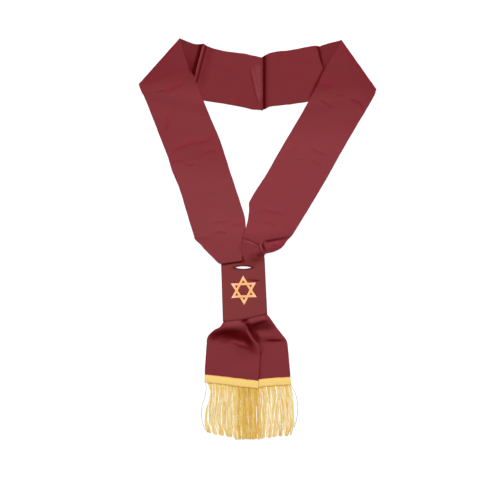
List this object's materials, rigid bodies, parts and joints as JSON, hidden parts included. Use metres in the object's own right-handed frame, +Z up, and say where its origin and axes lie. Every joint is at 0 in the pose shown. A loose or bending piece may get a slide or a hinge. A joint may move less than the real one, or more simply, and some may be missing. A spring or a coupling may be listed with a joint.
{
  "type": "sash",
  "caption": "Ribbon neck sash laid flat: a mitred loop gathered through a keeper with a slit and a raised star, and fringed tails below.",
  "frame": {"origin": "on the surface that the sash lies on, under the middle of the whole sash", "axes": "+Y from the fringe to the neck, +X to the right of someone looking down at the face, +Z up out of the face"},
  "size_m": [0.4462, 0.7565, 0.0092],
  "materials": {
    "ribbon": "ribbed maroon faille ribbon, soft sheen",
    "star": "peach-gold satin stitch",
    "braid": "woven yellow braid",
    "fringe": "silky golden thread"
  },
  "bodies": {
    "root": {"neck_left": "ribbon", "neck_right": "ribbon", "front_left": "ribbon", "front_right": "ribbon", "keeper": "ribbon", "keeper_core": "ribbon", "star": "star", "tail_left": "ribbon", "tail_right": "ribbon", "trim_left": "braid", "trim_right": "braid", "fringe_left": "fringe", "fringe_right": "fringe"}
  },
  "joints": []
}
